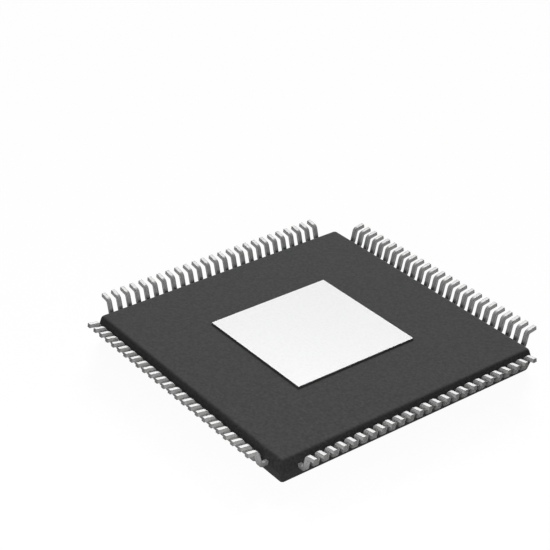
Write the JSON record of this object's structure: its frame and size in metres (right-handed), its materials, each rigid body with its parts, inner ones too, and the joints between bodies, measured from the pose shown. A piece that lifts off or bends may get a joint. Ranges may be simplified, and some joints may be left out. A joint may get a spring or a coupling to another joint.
{
  "type": "integrated circuit chip",
  "caption": "Quad flat package chip lying on its top: square moulded body, gull-wing leads on all four sides, exposed metal heat pad facing up.",
  "frame": {"origin": "centre of the flat package top, the face that the chip lies on", "axes": "+Z out of the exposed pad, away from the package top; X and Y square to the lead rows"},
  "size_m": [0.016, 0.016, 0.0015],
  "materials": {
    "mould_compound": "fine matt moulded, dark grey",
    "plated_pad": "satin tin plate on copper",
    "tin_plate": "matt tin plate on copper alloy",
    "adhesive": "silver filled epoxy",
    "silicon": "polished silicon",
    "bond_wire": "drawn gold wire"
  },
  "bodies": {
    "root": {"mould_body": "mould_compound", "die_paddle": "plated_pad", "die_attach": "adhesive", "silicon_die": "silicon", "leads_right": "tin_plate", "leads_back": "tin_plate", "leads_left": "tin_plate", "leads_front": "tin_plate", "wires_right": "bond_wire", "wires_back": "bond_wire", "wires_left": "bond_wire", "wires_front": "bond_wire"}
  },
  "joints": []
}
